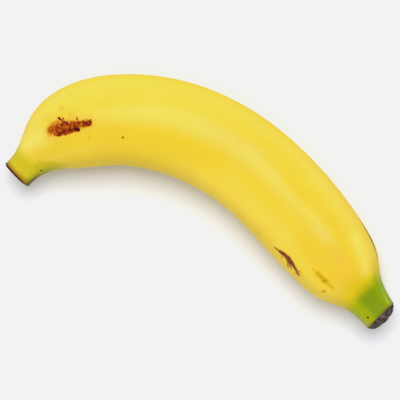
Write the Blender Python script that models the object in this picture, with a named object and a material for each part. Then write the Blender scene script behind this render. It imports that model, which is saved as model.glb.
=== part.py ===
"""A ripe banana lying on its side, cut from its bunch by the stalk.

Metres, +Z up. X runs from the cut stalk to the blossom end and +Y is the side that the fruit
bulges to. The origin is on the table, under the middle of the fruit's box.

The fruit grew as one piece, so it is one solid: a grid wrapped round a bent centreline. Each
ring of the grid is a rounded outline with soft ridges, and the rows at both ends close the
stalk's cut and the blossom scar.
"""

import math

import bmesh
import bpy
import numpy as np

# The whole fruit
FRUIT_LENGTH = 0.1855  # along the centreline, from the stalk's cut to the blossom scar
BELLY_WIDTH = 0.038  # across the bend, at the fattest
DEPTH_SHARE = 0.955  # thickness from table to top, as a share of the width
REST_SINK = 0.0007  # how far the belly flattens where it rests

# Along the fruit, 0 at the stalk's cut and 1 at the blossom scar.
# The width is a share of BELLY_WIDTH. The heading and the pitch are degrees.
WIDTH_ALONG = (
    (0.0, 0.345),
    (0.035, 0.375),
    (0.07, 0.52),
    (0.115, 0.75),
    (0.17, 0.895),
    (0.26, 0.96),
    (0.4, 1.0),
    (0.6, 1.0),
    (0.76, 0.98),
    (0.84, 0.905),
    (0.89, 0.76),
    (0.93, 0.525),
    (0.965, 0.42),
    (1.0, 0.385),
)
HEADING_ALONG = (
    (0.0, 66.0),
    (0.08, 63.0),
    (0.18, 39.0),
    (0.32, 13.5),
    (0.5, -9.5),
    (0.68, -26.5),
    (0.84, -30.0),
    (1.0, -30.0),
)
PITCH_ALONG = (
    (0.0, 5.0),
    (0.1, 4.5),
    (0.2, 3.5),
    (0.32, 1.3),
    (0.5, 0.0),
    (0.66, -0.5),
    (0.78, -2.0),
    (0.86, 1.0),
    (0.94, 6.0),
    (1.0, 9.0),
)
CENTRELINE_STEPS = 800

# Ridges, each with the angle of its crest, in degrees round the fruit from its outer side
# towards its top, and its height as a share of the half-width. Each triple is at the stalk,
# at the belly and at the blossom end.
RIDGE_PLACES = (0.0, 0.5, 1.0)
RIDGES = {
    "outer_top": ((42.0, 24.0, 52.0), (0.080, 0.045, 0.125)),
    "top": ((90.0, 79.0, 92.0), (0.020, 0.060, 0.000)),
    "inner_top": ((128.0, 141.0, 128.0), (0.075, 0.045, 0.125)),
    "inner_low": ((204.0, 222.0, 204.0), (0.075, 0.055, 0.125)),
    "outer_low": ((276.0, 306.0, 277.0), (0.075, 0.055, 0.125)),
    "outer": ((345.0, 352.0, 344.0), (0.075, 0.000, 0.125)),
}
RIDGE_SPREAD = 19.0  # degrees from a ridge's crest to where it has mostly faded

# The stalk's cut is a ring of skin round flesh that has sunk as it dried. Each row is a
# share of the radius, and how far the face lies inside the rim there.
CUT_ROWS = ((0.0, 0.0009), (0.45, 0.0008), (0.80, 0.0006), (0.90, 0.0001), (0.965, 0.0))
CUT_RIM_ROUND = 0.0005

# The blossom scar is a dry scab, domed, with low lobes round the stub of the flower. Each
# row is a share of the radius, the scab's height there, and how high the lobes stand.
SCAR_ROWS = (
    (0.96, 0.0004, 0.0),
    (0.88, 0.0009, 0.0001),
    (0.70, 0.0013, 0.0003),
    (0.46, 0.0013, 0.0003),
    (0.24, 0.0015, 0.0),
    (0.0, 0.0021, 0.0),
)
SCAR_LOBES = 5
SCAR_LOBES_TURN = math.radians(52.0)  # the first lobe stands under the neck's outer top ridge
SCAR_LEAN = math.radians(6.0)  # the scar faces a little further up than the neck does
SCAR_ASKEW = math.radians(6.0)  # and a little further outwards
LEAN_STARTS = 0.955  # along the fruit, where the neck starts to lean with the scar

# The grid
RINGS = 54
SIDES = 36
END_CROWDING = 0.55  # at 0 the rings are evenly spaced, and towards 1 they crowd at both ends
WELD = 1e-6
SHARP_EDGE = math.radians(40.0)

# Each colour's red, green and blue, and its roughness
COLOURS = {
    "yellow_peel": ((0.87, 0.66, 0.07), 0.42),
    "green_neck": ((0.26, 0.37, 0.03), 0.45),
    "dry_end": ((0.09, 0.04, 0.025), 0.85),
}
PEEL, GREEN, DRY = range(len(COLOURS))
NECK_TURNS_GREEN = 0.925  # along the fruit


def smooth_curve(knots, at):
    """The natural cubic spline through the knots, read at each value of at."""
    x, y = np.array(knots, float).T
    gap = np.diff(x)
    slope = np.diff(y) / gap
    system = np.eye(len(x))
    change = np.zeros(len(x))
    for i in range(1, len(x) - 1):
        system[i, i - 1 : i + 2] = gap[i - 1], 2 * (gap[i - 1] + gap[i]), gap[i]
        change[i] = 6 * (slope[i] - slope[i - 1])
    bend = np.linalg.solve(system, change)
    i = np.clip(np.searchsorted(x, at) - 1, 0, len(gap) - 1)
    before, after = at - x[i], x[i + 1] - at
    return (
        (bend[i] * after**3 + bend[i + 1] * before**3) / (6 * gap[i])
        + (y[i] / gap[i] - bend[i] * gap[i] / 6) * after
        + (y[i + 1] / gap[i] - bend[i + 1] * gap[i] / 6) * before
    )


def smooth_step(value):
    """0 below 0, 1 above 1, and an even ease between."""
    share = np.clip(value, 0.0, 1.0)
    return share * share * (3 - 2 * share)


def ring_places():
    """Where the rings stand along the fruit, crowded towards the ends, where it tapers."""
    even = np.linspace(0.0, 1.0, RINGS)
    crowded = (1 - np.cos(math.pi * even)) / 2
    return even + END_CROWDING * (crowded - even)


def centreline(along):
    """The centreline's points, and its direction at each of them."""
    fine = np.linspace(0.0, 1.0, CENTRELINE_STEPS + 1)
    heading = np.radians(smooth_curve(HEADING_ALONG, fine))
    pitch = np.radians(smooth_curve(PITCH_ALONG, fine))
    level = np.cos(pitch)
    direction = np.stack([level * np.cos(heading), level * np.sin(heading), np.sin(pitch)], 1)
    steps = (direction[1:] + direction[:-1]) / 2 * FRUIT_LENGTH / CENTRELINE_STEPS
    points = np.vstack([np.zeros(3), np.cumsum(steps, axis=0)])
    belly = points[CENTRELINE_STEPS // 2, 2]
    points[:, 2] += BELLY_WIDTH / 2 * DEPTH_SHARE - REST_SINK - belly
    read = [[np.interp(along, fine, side) for side in table.T] for table in (points, direction)]
    return [np.stack(sides, axis=1) for sides in read]


def turned(vectors, axes, angles):
    """Each vector turned about its own axis by its own angle."""
    cos, sin = np.cos(angles)[:, None], np.sin(angles)[:, None]
    along_axis = np.sum(axes * vectors, axis=1, keepdims=True) * axes
    return vectors * cos + np.cross(axes, vectors) * sin + along_axis * (1 - cos)


def ring_frames(along):
    """Each ring's centre, its outward and upward sides, and the way it faces."""
    centre, facing = centreline(along)
    outward = np.cross([0.0, 0.0, 1.0], facing)
    outward /= np.linalg.norm(outward, axis=1, keepdims=True)
    upward = np.cross(facing, outward)
    lean = smooth_step((along - LEAN_STARTS) / (1 - LEAN_STARTS))
    facing = turned(facing, outward, -SCAR_LEAN * lean)
    upward = turned(upward, outward, -SCAR_LEAN * lean)
    facing = turned(facing, upward, SCAR_ASKEW * lean)
    outward = turned(outward, upward, SCAR_ASKEW * lean)
    return centre, outward, upward, facing


def ridged_outline(along, angle):
    """The section at one place along the fruit, in a box from -1 to 1 both ways."""
    radius = np.ones_like(angle)
    for crests, heights in RIDGES.values():
        crest = smooth_curve(list(zip(RIDGE_PLACES, crests)), along)
        height = smooth_curve(list(zip(RIDGE_PLACES, heights)), along)
        away = (np.degrees(angle) - crest + 180.0) % 360.0 - 180.0
        radius = radius + height * np.exp(-((away / RIDGE_SPREAD) ** 2))
    outline = np.stack([radius * np.cos(angle), radius * np.sin(angle)], axis=1)
    low, high = outline.min(axis=0), outline.max(axis=0)
    return (2 * outline - high - low) / (high - low)


def fruit_rows():
    """Every row of the grid, from the cut's middle to the scar's, each SIDES + 1 points."""
    along = ring_places()
    centre, outward, upward, facing = ring_frames(along)
    half_width = smooth_curve(WIDTH_ALONG, along) * BELLY_WIDTH / 2
    angle = np.linspace(0.0, 2 * math.pi, SIDES + 1)

    def row(ring, share, forward):
        outline = ridged_outline(along[ring : ring + 1], angle) * half_width[ring] * share
        across = outline[:, :1] * outward[ring]
        up = outline[:, 1:] * DEPTH_SHARE * upward[ring]
        return centre[ring] + across + up + np.outer(forward + 0 * angle, facing[ring])

    rows = [row(0, share, inside) for share, inside in CUT_ROWS]
    rows.append(row(0, 1.0, CUT_RIM_ROUND))
    rows += [row(ring, 1.0, 0.0) for ring in range(1, RINGS)]
    lobes = np.cos(SCAR_LOBES * (angle - SCAR_LOBES_TURN))
    rows += [row(RINGS - 1, share, high + lobe * lobes) for share, high, lobe in SCAR_ROWS]
    return np.array(rows)


def colour_of_row(row):
    """Which colour the faces after this row have."""
    ring = row - len(CUT_ROWS)
    if ring < -1 or ring >= RINGS - 1:
        return DRY
    return GREEN if ring_places()[max(ring, 0)] >= NECK_TURNS_GREEN else PEEL


def wrapped_grid(name, rows):
    """A closed mesh: a flat grid whose points move to the rows, welded at seam and poles."""
    mesh = bmesh.new()
    along_steps, around_steps = rows.shape[0] - 1, rows.shape[1] - 1
    bmesh.ops.create_grid(mesh, x_segments=around_steps, y_segments=along_steps, size=0.5)
    for face in mesh.faces:
        first = min(vertex.co.y for vertex in face.verts)
        face.material_index = colour_of_row(round((first + 0.5) * along_steps))
    for vertex in mesh.verts:
        row = round((vertex.co.y + 0.5) * along_steps)
        column = round((vertex.co.x + 0.5) * around_steps)
        vertex.co = rows[row, column]
    bmesh.ops.remove_doubles(mesh, verts=mesh.verts, dist=WELD)
    bmesh.ops.recalc_face_normals(mesh, faces=mesh.faces)
    data = bpy.data.meshes.new(name)
    mesh.to_mesh(data)
    mesh.free()
    return data


def coloured(name):
    """A plain material in one of the fruit's colours."""
    colour, roughness = COLOURS[name]
    material = bpy.data.materials.new(name)
    material.use_nodes = True
    shader = material.node_tree.nodes["Principled BSDF"]
    shader.inputs["Base Color"].default_value = (*colour, 1.0)
    shader.inputs["Roughness"].default_value = roughness
    shader.inputs["Metallic"].default_value = 0.0
    material.diffuse_color = (*colour, 1.0)
    return material


def banana():
    """The fruit, flat where it rests, with its box's middle over the origin."""
    rows = fruit_rows()
    rows[..., 2] = np.maximum(rows[..., 2], 0.0)
    low, high = rows.min(axis=(0, 1)), rows.max(axis=(0, 1))
    rows[..., :2] -= ((low + high) / 2)[:2]
    data = wrapped_grid("banana", rows)
    data.shade_smooth()
    data.set_sharp_from_angle(angle=SHARP_EDGE)
    for colour in COLOURS:
        data.materials.append(coloured(colour))
    return bpy.data.objects.new("banana", data)


def main():
    """Clears the scene and builds the banana."""
    for leftover in list(bpy.data.objects):
        bpy.data.objects.remove(leftover)
    fruit = bpy.data.collections.new("banana")
    bpy.context.scene.collection.children.link(fruit)
    fruit.objects.link(banana())


if __name__ == "__main__":
    main()
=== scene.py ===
"""A ripe banana lying on its side: the looks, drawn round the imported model.

Metres, +Z up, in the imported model's own frame. X runs from the cut stalk to the blossom end and
+Y is the side that the fruit bulges to. Places on the fruit are given as a share along it, 0 at
the stalk's cut and 1 at the blossom scar, and as degrees round it, from its outer side (0)
towards its top (90).
"""

import logging
import math
from dataclasses import dataclass
from enum import Enum
from functools import cached_property, partial
from typing import Any, NamedTuple, Union

import bpy
import numpy as np
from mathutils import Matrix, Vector

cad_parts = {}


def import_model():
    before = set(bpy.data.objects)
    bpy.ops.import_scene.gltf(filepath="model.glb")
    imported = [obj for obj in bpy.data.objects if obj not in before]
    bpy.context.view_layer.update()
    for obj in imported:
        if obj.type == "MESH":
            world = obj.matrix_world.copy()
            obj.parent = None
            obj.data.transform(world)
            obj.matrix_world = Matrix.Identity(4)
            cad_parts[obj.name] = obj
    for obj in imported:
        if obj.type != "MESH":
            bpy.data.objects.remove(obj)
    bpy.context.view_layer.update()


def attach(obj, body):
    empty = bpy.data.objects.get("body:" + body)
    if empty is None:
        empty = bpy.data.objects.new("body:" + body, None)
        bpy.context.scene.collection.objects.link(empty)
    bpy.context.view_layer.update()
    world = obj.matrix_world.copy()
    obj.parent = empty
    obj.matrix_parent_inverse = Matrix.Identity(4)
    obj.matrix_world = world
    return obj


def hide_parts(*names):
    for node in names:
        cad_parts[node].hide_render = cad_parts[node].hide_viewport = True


log = logging.getLogger("banana")

Colour = tuple[float, float, float]
Knots = tuple[tuple[float, float], ...]
Place = tuple[float, float]
Span = tuple[float, float]
Operand = Union["Wire", float, Colour, Vector]

MILLIMETRE = 0.001
NOISE_MIDDLE = 0.5
DOWN_TO_FLOOR = (-1.0, -1.0, 0.0)  # the lowest that a point may be, far below it sideways
MIX_FIRST, MIX_SECOND, MIX_RESULT = 6, 7, 2  # a colour Mix node's sockets


class Wire:
    """One output in a node tree. Arithmetic on it adds the node that works the result out."""

    def __init__(self, tree: "Tree", socket: bpy.types.NodeSocket) -> None:
        """Keeps the tree and the socket."""
        self.tree = tree
        self.socket = socket

    def __add__(self, other: Operand) -> "Wire":
        """This plus the other."""
        return self.tree.maths("ADD", self, other)

    def __radd__(self, other: Operand) -> "Wire":
        """The other plus this."""
        return self.tree.maths("ADD", other, self)

    def __sub__(self, other: Operand) -> "Wire":
        """This less the other."""
        return self.tree.maths("SUBTRACT", self, other)

    def __rsub__(self, other: Operand) -> "Wire":
        """The other less this."""
        return self.tree.maths("SUBTRACT", other, self)

    def __mul__(self, other: Operand) -> "Wire":
        """This times the other."""
        return self.tree.maths("MULTIPLY", self, other)

    def __rmul__(self, other: Operand) -> "Wire":
        """The other times this."""
        return self.tree.maths("MULTIPLY", other, self)

    def __truediv__(self, other: Operand) -> "Wire":
        """This over the other."""
        return self.tree.maths("DIVIDE", self, other)

    def __rtruediv__(self, other: Operand) -> "Wire":
        """The other over this."""
        return self.tree.maths("DIVIDE", other, self)

    def out(self, output: int | str) -> "Wire":
        """Another output of the same node."""
        return Wire(self.tree, self.socket.node.outputs[output])


class Tree:
    """A shader's or a geometry's node tree, written as Python expressions."""

    def __init__(self, data: bpy.types.NodeTree) -> None:
        """Keeps the tree that the nodes go in."""
        self.data = data

    def node(
        self,
        kind: str,
        settings: dict[str, Any] | None = None,
        inputs: dict[int | str, Any] | None = None,
        output: int | str = 0,
    ) -> Wire:
        """Adds one node.

        Args:
            kind: The node's type, such as ShaderNodeTexNoise.
            settings: Its own properties, which are set first. "stops" are a ramp's colours.
            inputs: A value or a wire for each of its sockets.
            output: Which of its outputs comes back.

        Returns:
            The output's wire.
        """
        made = self.data.nodes.new(kind)
        for name, value in (settings or {}).items():
            if name == "stops":
                self._set_stops(made.color_ramp, value)
            else:
                setattr(made, name, value)
        self.feed(made, inputs or {})
        return Wire(self, made.outputs[output])

    def feed(self, node: bpy.types.Node, inputs: dict[int | str, Any]) -> None:
        """Sets or links some of a node's sockets."""
        for name, value in inputs.items():
            socket = node.inputs[name]
            if isinstance(value, Wire):
                self.data.links.new(value.socket, socket)
            elif socket.type == "VECTOR" and isinstance(value, (int, float)):
                socket.default_value = (value, value, value)
            elif socket.type == "RGBA":
                socket.default_value = (*value, 1.0)
            else:
                socket.default_value = value

    @staticmethod
    def _set_stops(ramp: bpy.types.ColorRamp, stops: tuple[tuple[float, Colour], ...]) -> None:
        """Gives a ramp its stops.

        Args:
            ramp: The ramp, which Blender makes with two stops.
            stops: Each stop's place, from 0 to 1, and its colour, in order.
        """
        while len(ramp.elements) < len(stops):
            ramp.elements.new(1.0)
        for element, (place, colour) in zip(ramp.elements, stops):
            element.position = place
            element.color = (*colour, 1.0)

    def maths(
        self, operation: str, first: Operand, second: Operand = 0.0, third: Operand = 0.0
    ) -> Wire:
        """A Math node, or a Vector Math node where one of the values is a vector.

        Args:
            operation: The node's operation.
            first: Its first value.
            second: Its second value.
            third: Its third value, for the operations that take one.

        Returns:
            The result's wire.
        """
        values = (first, second, third)
        if any(self._is_vector(value) for value in values):
            given = {place: value for place, value in enumerate(values[:2])}
            return self.node("ShaderNodeVectorMath", {"operation": operation}, given)
        return self.node("ShaderNodeMath", {"operation": operation}, dict(enumerate(values)))

    @staticmethod
    def _is_vector(value: Operand) -> bool:
        """Whether a value has three sides."""
        if isinstance(value, Wire):
            return value.socket.type == "VECTOR"
        return not isinstance(value, (int, float))

    def measure(self, operation: str, first: Operand, second: Operand) -> Wire:
        """The number that two vectors give, such as their distance or dot product."""
        return self.node("ShaderNodeVectorMath", {"operation": operation}, {0: first, 1: second}, "Value")

    def sides(self, vector: Wire) -> tuple[Wire, Wire, Wire]:
        """A vector's three numbers."""
        split = self.node("ShaderNodeSeparateXYZ", {}, {0: vector})
        return split, split.out(1), split.out(2)

    def vector(self, x: Operand, y: Operand, z: Operand) -> Wire:
        """A vector made of three numbers."""
        return self.node("ShaderNodeCombineXYZ", {}, {0: x, 1: y, 2: z})

    def eased(self, value: Operand, low: Operand, high: Operand) -> Wire:
        """0 where the value is at low, 1 where it is at high, and an even ease between."""
        return self.node(
            "ShaderNodeMapRange",
            {"interpolation_type": "SMOOTHSTEP"},
            {"Value": value, "From Min": low, "From Max": high},
        )

    def noise(self, at: Wire, size: Operand, detail: float = 2.0, seed: Operand = 0.0) -> Wire:
        """Soft noise from about 0 to 1.

        Args:
            at: Where on the surface, in metres.
            size: How far apart its lumps are, in metres.
            detail: How many finer layers it has.
            seed: Any number: another one gives other lumps.

        Returns:
            The noise's wire. Its node's second output is the same noise in three channels.
        """
        scale = 1.0 / size
        return self.node(
            "ShaderNodeTexNoise",
            {"noise_dimensions": "4D"},
            {"Vector": at, "W": seed, "Scale": scale, "Detail": detail},
        )


class ShaderTree(Tree):
    """A material's nodes, which end in one Principled shader."""

    def __init__(self, name: str) -> None:
        """Makes the material that the nodes belong to."""
        self.material = bpy.data.materials.new(name)
        self.material.use_nodes = True
        super().__init__(self.material.node_tree)
        self.shader = self.data.nodes["Principled BSDF"]

    def attribute(self, name: str, output: str = "Fac") -> Wire:
        """One of the values that the surface's own mesh carries."""
        return self.node("ShaderNodeAttribute", {"attribute_name": name}, {}, output)

    def mix(self, factor: Operand, first: Any, second: Any) -> Wire:
        """One colour laid over another, as far as the factor says."""
        return self.node(
            "ShaderNodeMix",
            {"data_type": "RGBA"},
            {0: factor, MIX_FIRST: first, MIX_SECOND: second},
            MIX_RESULT,
        )

    def bump(self, height: Operand) -> Wire:
        """A surface's fine relief from its height in millimetres."""
        return self.node("ShaderNodeBump", {}, {"Distance": MILLIMETRE, "Height": height})

    def finish(self, **sockets: Any) -> bpy.types.Material:
        """Sets or links the shader's sockets, named with _ for a space, and gives the material."""
        self.feed(self.shader, {name.replace("_", " "): value for name, value in sockets.items()})
        return self.material


class GeometryTree(Tree):
    """A Geometry Nodes tree with named inputs."""

    def __init__(self, name: str, inputs: dict[str, str]) -> None:
        """Makes the tree.

        Args:
            name: Its name.
            inputs: Each input's name and its socket's type, after the geometry.
        """
        super().__init__(bpy.data.node_groups.new(name, "GeometryNodeTree"))
        face = self.data.interface
        face.new_socket("Geometry", in_out="OUTPUT", socket_type="NodeSocketGeometry")
        face.new_socket("Geometry", in_out="INPUT", socket_type="NodeSocketGeometry")
        for title, kind in inputs.items():
            face.new_socket(title, in_out="INPUT", socket_type=kind)
        self.given = self.node("NodeGroupInput")

    def named(self, name: str) -> Wire:
        """One of the tree's inputs."""
        return self.given.out(name)

    def stored(self, name: str, kind: str = "FLOAT") -> Wire:
        """A value that the points carry."""
        return self.node("GeometryNodeInputNamedAttribute", {"data_type": kind}, {"Name": name})

    def store(self, geometry: Wire, name: str, value: Wire, kind: str = "FLOAT") -> Wire:
        """The geometry with one more value on its points."""
        given = {"Geometry": geometry, "Name": name, "Value": value}
        return self.node("GeometryNodeStoreNamedAttribute", {"data_type": kind}, given)

    def end(self, geometry: Wire) -> None:
        """Shades the geometry smooth, makes its instances real and gives it its material."""
        smooth = self.node("GeometryNodeSetShadeSmooth", {}, {"Geometry": geometry})
        real = self.node("GeometryNodeRealizeInstances", {}, {"Geometry": smooth})
        dressed = self.node(
            "GeometryNodeSetMaterial", {}, {"Geometry": real, "Material": self.named("Material")}
        )
        out = self.data.nodes.new("NodeGroupOutput")
        self.data.links.new(dressed.socket, out.inputs[0])

    def apply(self, piece: bpy.types.Object, **values: Any) -> None:
        """Runs the tree on a piece and leaves a plain mesh.

        Args:
            piece: The object, whose own mesh the tree starts from.
            values: The value of each named input, in small letters and with _ for a space.
        """
        modifier = piece.modifiers.new(self.data.name, "NODES")
        modifier.node_group = self.data
        given = {as_title(name): value for name, value in values.items()}
        for item in self.data.interface.items_tree:
            if item.in_out == "INPUT" and item.name in given:
                modifier[item.identifier] = given[item.name]
        graph = bpy.context.evaluated_depsgraph_get()
        grown = bpy.data.meshes.new_from_object(
            piece.evaluated_get(graph), preserve_all_data_layers=True, depsgraph=graph
        )
        piece.modifiers.remove(modifier)
        seed = piece.data
        piece.data = grown
        bpy.data.meshes.remove(seed)
        grown.name = piece.name


def in_scene(name: str, data: bpy.types.ID) -> bpy.types.Object:
    """A new object in the scene."""
    made = bpy.data.objects.new(name, data)
    bpy.context.scene.collection.objects.link(made)
    return made


def as_title(name: str) -> str:
    """A field's name as the name of a tree's input: inner_share is Inner Share."""
    return name.replace("_", " ").title()


def between(share: Operand, first: float, last: float) -> Operand:
    """The number at a share of the way from one number to another."""
    return share * (last - first) + first


def smooth_curve(knots: Knots, at: np.ndarray) -> np.ndarray:
    """The natural cubic spline through some knots.

    Args:
        knots: The places and values that it passes through.
        at: Where to read it.

    Returns:
        Its value at each place.
    """
    x, y = np.array(knots, float).T
    gap = np.diff(x)
    slope = np.diff(y) / gap
    system = np.eye(len(x))
    change = np.zeros(len(x))
    for i in range(1, len(x) - 1):
        system[i, i - 1 : i + 2] = gap[i - 1], 2 * (gap[i - 1] + gap[i]), gap[i]
        change[i] = 6 * (slope[i] - slope[i - 1])
    bend = np.linalg.solve(system, change)
    i = np.clip(np.searchsorted(x, at) - 1, 0, len(gap) - 1)
    before, after = at - x[i], x[i + 1] - at
    return (
        (bend[i] * after**3 + bend[i + 1] * before**3) / (6 * gap[i])
        + (y[i] / gap[i] - bend[i] * gap[i] / 6) * after
        + (y[i + 1] / gap[i] - bend[i + 1] * gap[i] / 6) * before
    )


def turned(vectors: np.ndarray, axes: np.ndarray, angles: np.ndarray) -> np.ndarray:
    """Each vector turned about its own axis by its own angle in radians."""
    cos, sin = np.cos(angles)[:, None], np.sin(angles)[:, None]
    along_axis = np.sum(axes * vectors, axis=1, keepdims=True) * axes
    return vectors * cos + np.cross(axes, vectors) * sin + along_axis * (1 - cos)


class Ridge(NamedTuple):
    """A soft ridge that runs the length of the fruit.

    Attributes:
        crests: The degrees round the fruit of its crest, at the stalk, belly and blossom end.
        heights: Its height at those three places, as a share of the half-width.
    """

    crests: tuple[float, float, float]
    heights: tuple[float, float, float]


class Section(NamedTuple):
    """One row of points round the fruit.

    Attributes:
        along: Where it stands, as a share of the fruit's length.
        share: Its size, as a share of the skin's own ring there.
        forward: How far it is pushed towards the blossom end, in metres.
        lobe: How high lobes stand on it, in metres.
        relief: How much of the skin's fine relief it has, from 0 to 1.
    """

    along: float
    share: float = 1.0
    forward: float = 0.0
    lobe: float = 0.0
    relief: float = 1.0


@dataclass(frozen=True)
class FruitForm:
    """The rule of the fruit's shape, with the solid's own driving sizes, in metres and degrees."""

    length: float = 0.1855
    belly_width: float = 0.038
    depth_share: float = 0.955
    rest_sink: float = 0.0007
    width_along: Knots = (
        (0.0, 0.345), (0.035, 0.375), (0.07, 0.52), (0.115, 0.75), (0.17, 0.895), (0.26, 0.96), (0.4, 1.0),
        (0.6, 1.0), (0.76, 0.98), (0.84, 0.905), (0.89, 0.76), (0.93, 0.525), (0.965, 0.42), (1.0, 0.385),
    )
    heading_along: Knots = (
        (0.0, 66.0), (0.08, 63.0), (0.18, 39.0), (0.32, 13.5), (0.5, -9.5), (0.68, -26.5), (0.84, -30.0),
        (1.0, -30.0),
    )
    pitch_along: Knots = (
        (0.0, 5.0), (0.1, 4.5), (0.2, 3.5), (0.32, 1.3), (0.5, 0.0), (0.66, -0.5), (0.78, -2.0), (0.86, 1.0),
        (0.94, 6.0), (1.0, 9.0),
    )
    ridge_places: tuple[float, float, float] = (0.0, 0.5, 1.0)
    ridges: tuple[Ridge, ...] = (
        Ridge((42.0, 24.0, 52.0), (0.080, 0.045, 0.125)),
        Ridge((90.0, 79.0, 92.0), (0.020, 0.060, 0.000)),
        Ridge((128.0, 141.0, 128.0), (0.075, 0.045, 0.125)),
        Ridge((204.0, 222.0, 204.0), (0.075, 0.055, 0.125)),
        Ridge((276.0, 306.0, 277.0), (0.075, 0.055, 0.125)),
        Ridge((345.0, 352.0, 344.0), (0.075, 0.000, 0.125)),
    )
    ridge_spread: float = 19.0
    scar_lean: float = 6.0
    scar_askew: float = 6.0
    lean_starts: float = 0.955
    steps: int = 800
    box_rows: int = 401
    box_sides: int = 73
    fit_sides: int = 361

    @cached_property
    def over_origin(self) -> np.ndarray:
        """The move that brings the middle of the fruit's box over the origin."""
        around = np.linspace(0.0, 360.0, self.box_sides)
        places = np.linspace(0.0, 1.0, self.box_rows)
        skin = np.vstack([self._skin(np.full_like(around, along), around) for along in places])
        middle = (skin.min(axis=0) + skin.max(axis=0)) / 2
        return np.array([-middle[0], -middle[1], 0.0])

    def centreline(self, along: np.ndarray) -> tuple[np.ndarray, np.ndarray]:
        """The centreline's points at some places, before the box is centred, and its direction."""
        fine = np.linspace(0.0, 1.0, self.steps + 1)
        heading = np.radians(smooth_curve(self.heading_along, fine))
        pitch = np.radians(smooth_curve(self.pitch_along, fine))
        level = np.cos(pitch)
        direction = np.stack([level * np.cos(heading), level * np.sin(heading), np.sin(pitch)], 1)
        strides = (direction[1:] + direction[:-1]) / 2 * self.length / self.steps
        points = np.vstack([np.zeros(3), np.cumsum(strides, axis=0)])
        belly = points[self.steps // 2, 2]
        points[:, 2] += self.belly_width / 2 * self.depth_share - self.rest_sink - belly
        read = [[np.interp(along, fine, side) for side in table.T] for table in (points, direction)]
        centre, facing = [np.stack(columns, axis=1) for columns in read]
        return centre, facing

    def frames(self, along: np.ndarray) -> tuple[np.ndarray, np.ndarray, np.ndarray, np.ndarray]:
        """The centre of each place's ring, its outward and upward sides, and the way it faces."""
        centre, facing = self.centreline(along)
        outward = np.cross([0.0, 0.0, 1.0], facing)
        outward /= np.linalg.norm(outward, axis=1, keepdims=True)
        upward = np.cross(facing, outward)
        share = np.clip((along - self.lean_starts) / (1 - self.lean_starts), 0.0, 1.0)
        lean = share * share * (3 - 2 * share)
        down = -math.radians(self.scar_lean) * lean
        aside = math.radians(self.scar_askew) * lean
        facing = turned(facing, outward, down)
        upward = turned(upward, outward, down)
        facing = turned(facing, upward, aside)
        outward = turned(outward, upward, aside)
        return centre, outward, upward, facing

    def half_width(self, along: np.ndarray) -> np.ndarray:
        """Half the fruit's width at some places."""
        return smooth_curve(self.width_along, along) * self.belly_width / 2

    def ridge_values(self, along: np.ndarray) -> list[tuple[np.ndarray, np.ndarray]]:
        """Each ridge's crest and height at some places."""
        return [
            tuple(smooth_curve(tuple(zip(self.ridge_places, values)), along) for values in ridge)
            for ridge in self.ridges
        ]

    def radius(self, along: np.ndarray, around: np.ndarray) -> np.ndarray:
        """The ridged ring's radius, before it is fitted to the fruit's width and depth."""
        radius = np.ones(np.broadcast(along, around).shape)
        for crest, height in self.ridge_values(along):
            away = (around - crest + 180.0) % 360.0 - 180.0
            radius = radius + height * np.exp(-((away / self.ridge_spread) ** 2))
        return radius

    def ring_fit(self, along: np.ndarray) -> tuple[np.ndarray, np.ndarray]:
        """What a ridged ring is multiplied by, and then moved by, to fill a box from -1 to 1."""
        around = np.linspace(0.0, 360.0, self.fit_sides)
        radius = np.stack([self.radius(np.array([place]), around) for place in along])
        angle = np.radians(around)
        ring = np.stack([radius * np.cos(angle), radius * np.sin(angle)], axis=2)
        low, high = ring.min(axis=1), ring.max(axis=1)
        return 2 / (high - low), -(high + low) / (high - low)

    def _skin(self, along: np.ndarray, around: np.ndarray) -> np.ndarray:
        """The skin's points, before the box is centred."""
        centre, outward, upward, _ = self.frames(along)
        radius, angle = self.radius(along, around), np.radians(around)
        stretch, move = self.ring_fit(along[:1])
        ring = np.stack([radius * np.cos(angle), radius * np.sin(angle)], axis=1) * stretch + move
        ring *= self.half_width(along)[:, None]
        return centre + ring[:, :1] * outward + ring[:, 1:] * self.depth_share * upward

    def place(self, spot: Place) -> Vector:
        """The point of the skin at a share along the fruit and degrees round it."""
        along, around = spot
        point = self._skin(np.array([along]), np.array([around]))[0]
        return Vector(point + self.over_origin)

    def stations(self, name: str, sections: list[Section]) -> bpy.types.Object:
        """An object with one point for each row, which carries what the row's ring needs.

        Args:
            name: The object's name.
            sections: The rows, in order.

        Returns:
            The object, in the scene.
        """
        rows = np.array(sections, float)
        along, share, forward, lobe, relief = rows.T
        centre, outward, upward, facing = self.frames(along)
        centre = centre + self.over_origin + facing * forward[:, None]
        stretch, move = self.ring_fit(along)
        level = np.zeros((len(rows), 1))
        data = bpy.data.meshes.new(name)
        data.from_pydata(centre.tolist(), [], [])
        values: dict[str, np.ndarray] = {
            "along_row": along,
            "reach": self.half_width(along) * share,
            "lobe": lobe,
            "share_row": share,
            "relief_row": relief,
            "centre": centre,
            "outward": outward,
            "upward": upward * self.depth_share,
            "facing": facing,
            "stretch": np.hstack([stretch, level]),
            "move": np.hstack([move, level]),
        }
        for place, (crest, height) in enumerate(self.ridge_values(along)):
            values[f"crest_{place}"] = crest
            values[f"height_{place}"] = height
        for title, table in values.items():
            kind, field = ("FLOAT", "value") if table.ndim == 1 else ("FLOAT_VECTOR", "vector")
            attribute = data.attributes.new(title, kind, "POINT")
            attribute.data.foreach_set(field, table.astype(np.float32).ravel())
        return in_scene(name, data)


class Relief(NamedTuple):
    """The fine relief of a surface, sunk into it, in metres.

    Attributes:
        dent_depth: How deep the broad dents are.
        dent_size: How far apart they are.
        crumb_depth: How deep the fine roughness is.
        crumb_size: How far apart it is.
        crease_depth: How deep the lengthwise creases at the ends are.
        crease_reach: How far along the fruit the creases run from each end, as a share.
    """

    dent_depth: float
    dent_size: float
    crumb_depth: float
    crumb_size: float
    crease_depth: float = 0.0
    crease_reach: float = 0.1


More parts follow.
